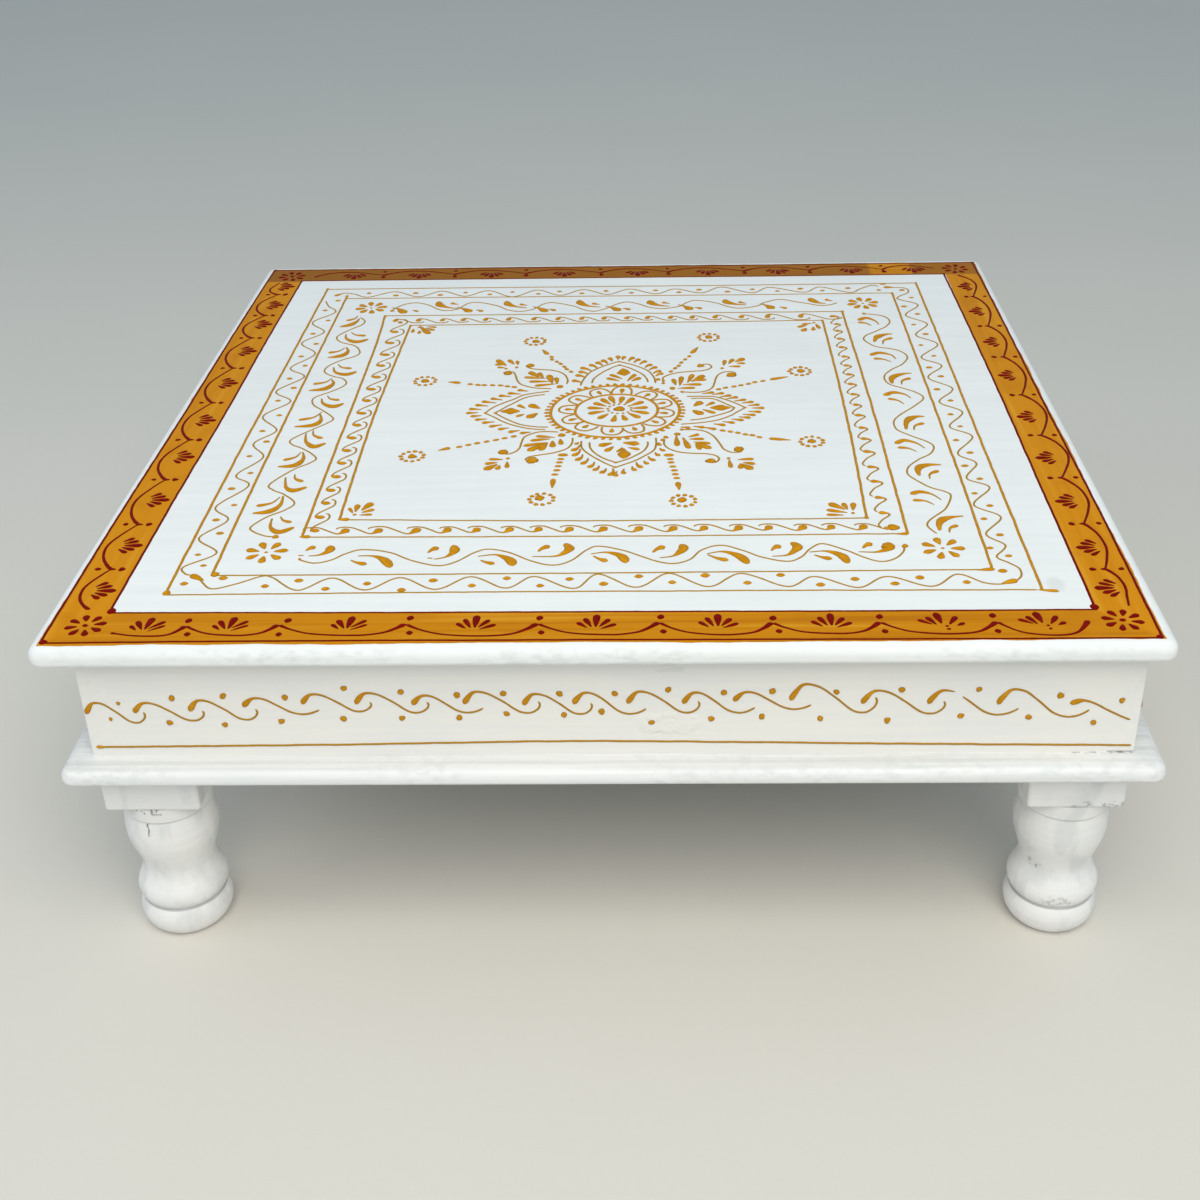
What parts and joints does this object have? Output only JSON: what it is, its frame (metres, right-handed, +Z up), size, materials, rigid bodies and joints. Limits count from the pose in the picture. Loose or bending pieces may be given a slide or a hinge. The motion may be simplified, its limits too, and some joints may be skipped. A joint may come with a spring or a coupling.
{
  "type": "low table",
  "caption": "Square low table with a painted patterned top on a shallow apron box, a moulded base frame and short turned legs.",
  "frame": {"origin": "on the floor, under the middle of the table", "axes": "+Z up; the front, with the scrolls that the picture shows, faces -Y; +X is to the right seen from the front"},
  "size_m": [0.615, 0.612, 0.217],
  "materials": {
    "white_paint": "brushed white paint over wood, satin, slightly uneven",
    "raw_wood": "unpainted sawn hardwood",
    "steel": "plain steel fasteners",
    "ochre_paint": "streaky brushed ochre paint, satin",
    "gold_line_paint": "raised piped ochre-gold paint, semi-gloss",
    "maroon_paint": "raised piped maroon paint, semi-gloss"
  },
  "bodies": {
    "root": {"top_board": "white_paint", "apron_front": "white_paint", "apron_back": "white_paint", "apron_left": "white_paint", "apron_right": "white_paint", "base_front": "white_paint", "base_back": "white_paint", "base_left": "white_paint", "base_right": "white_paint", "leg_front_left": "white_paint", "corner_block_front_left": "raw_wood", "leg_front_right": "white_paint", "corner_block_front_right": "raw_wood", "leg_back_left": "white_paint", "corner_block_back_left": "raw_wood", "leg_back_right": "white_paint", "corner_block_back_right": "raw_wood", "glue_block_front_left": "raw_wood", "glue_block_front_right": "raw_wood", "glue_block_back_left": "raw_wood", "glue_block_back_right": "raw_wood", "glue_block_left_front": "raw_wood", "glue_block_left_back": "raw_wood", "glue_block_right_front": "raw_wood", "glue_block_right_back": "raw_wood", "apron_nails": "steel", "base_screws": "steel"}
  },
  "joints": []
}
